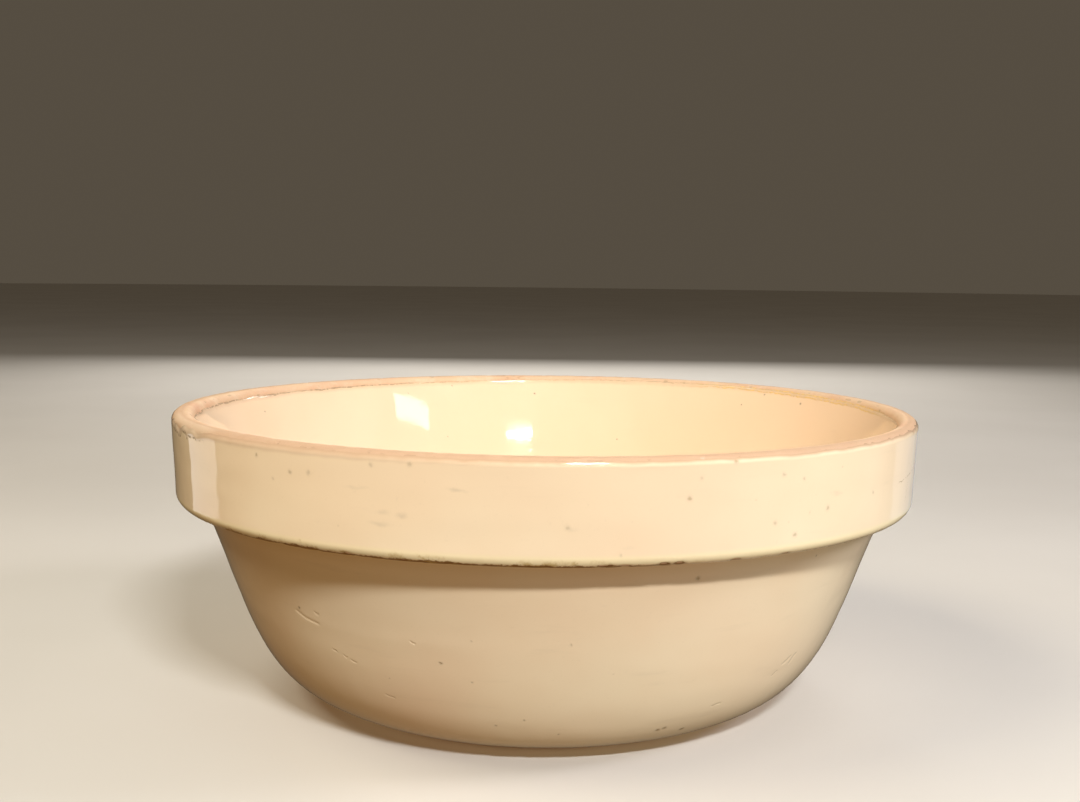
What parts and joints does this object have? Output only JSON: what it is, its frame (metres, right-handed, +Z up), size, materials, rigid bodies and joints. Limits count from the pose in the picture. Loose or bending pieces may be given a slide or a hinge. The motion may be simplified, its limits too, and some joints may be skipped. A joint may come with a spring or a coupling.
{
  "type": "mixing bowl",
  "caption": "Round stoneware mixing bowl with a tall upright collar, curved wall, flat foot ring, bare clay lip and ivory glaze inside and out.",
  "frame": {"origin": "on the bowl's axis, in the plane that its foot ring stands on", "axes": "+Z up along the bowl's axis, towards the open mouth; the bowl is turned, so +X and +Y are equal"},
  "size_m": [0.305, 0.305, 0.117],
  "materials": {
    "bare_stoneware": "matt, fired, unglazed",
    "ivory_glaze": "gloss"
  },
  "bodies": {
    "root": {"stoneware_body": "bare_stoneware", "inner_glaze": "ivory_glaze", "outer_glaze": "ivory_glaze", "base_glaze": "ivory_glaze"}
  },
  "joints": []
}
